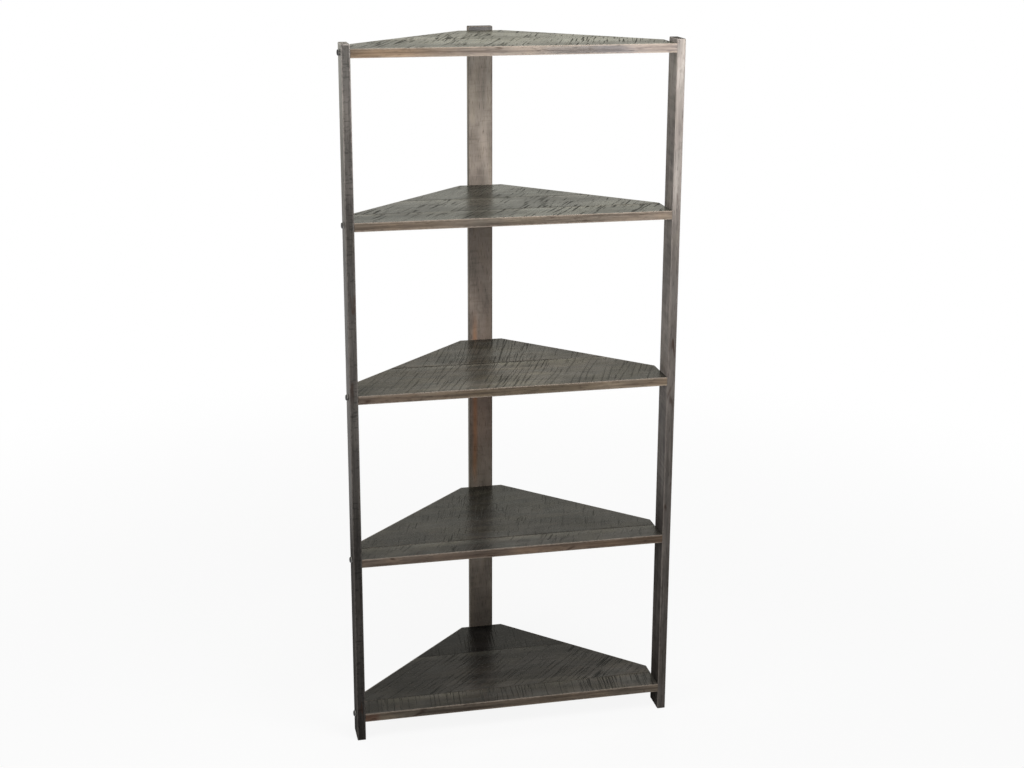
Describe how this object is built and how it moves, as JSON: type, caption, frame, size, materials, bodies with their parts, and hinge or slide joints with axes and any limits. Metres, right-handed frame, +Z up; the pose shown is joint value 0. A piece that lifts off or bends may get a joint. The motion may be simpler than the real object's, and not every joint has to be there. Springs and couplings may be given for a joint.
{
  "type": "corner shelf unit",
  "caption": "Tall open corner shelf unit: flat board posts carry angled plank shelves of dark rough-sawn wood, each bolted through the posts with black domed bolts.",
  "frame": {"origin": "on the floor, in the middle of the bounding box", "axes": "+Z up along the posts, +Y from the shelves' front edge towards the room's corner, +X along the front edges to the right as seen from the front"},
  "size_m": [0.8654, 0.4858, 1.829],
  "materials": {
    "post_wood": "dark grey-brown stain over saw marks, satin clear coat",
    "shelf_wood": "dark charcoal stain over circular saw marks, satin clear coat",
    "black_bolt": "black oxide, semi-gloss",
    "brass_insert": "turned, plain"
  },
  "bodies": {
    "root": {"left_post": "post_wood", "right_post": "post_wood", "rear_post": "post_wood", "shelf_1_front_board": "shelf_wood", "shelf_1_rear_board": "shelf_wood", "shelf_2_front_board": "shelf_wood", "shelf_2_middle_board": "shelf_wood", "shelf_2_rear_board": "shelf_wood", "shelf_3_front_board": "shelf_wood", "shelf_3_rear_board": "shelf_wood", "shelf_4_front_board": "shelf_wood", "shelf_4_rear_board": "shelf_wood", "shelf_5_front_board": "shelf_wood", "shelf_5_middle_board": "shelf_wood", "shelf_5_rear_board": "shelf_wood", "shelf_1_left_bolt": "black_bolt", "shelf_1_left_insert": "brass_insert", "shelf_1_right_bolt": "black_bolt", "shelf_1_right_insert": "brass_insert", "shelf_1_rear_bolt": "black_bolt", "shelf_1_rear_insert": "brass_insert", "shelf_2_left_bolt": "black_bolt", "shelf_2_left_insert": "brass_insert", "shelf_2_right_bolt": "black_bolt", "shelf_2_right_insert": "brass_insert", "shelf_2_rear_bolt": "black_bolt", "shelf_2_rear_insert": "brass_insert", "shelf_3_left_bolt": "black_bolt", "shelf_3_left_insert": "brass_insert", "shelf_3_right_bolt": "black_bolt", "shelf_3_right_insert": "brass_insert", "shelf_3_rear_bolt": "black_bolt", "shelf_3_rear_insert": "brass_insert", "shelf_4_left_bolt": "black_bolt", "shelf_4_left_insert": "brass_insert", "shelf_4_right_bolt": "black_bolt", "shelf_4_right_insert": "brass_insert", "shelf_4_rear_bolt": "black_bolt", "shelf_4_rear_insert": "brass_insert", "shelf_5_left_bolt": "black_bolt", "shelf_5_left_insert": "brass_insert", "shelf_5_right_bolt": "black_bolt", "shelf_5_right_insert": "brass_insert", "shelf_5_rear_bolt": "black_bolt", "shelf_5_rear_insert": "brass_insert"}
  },
  "joints": []
}
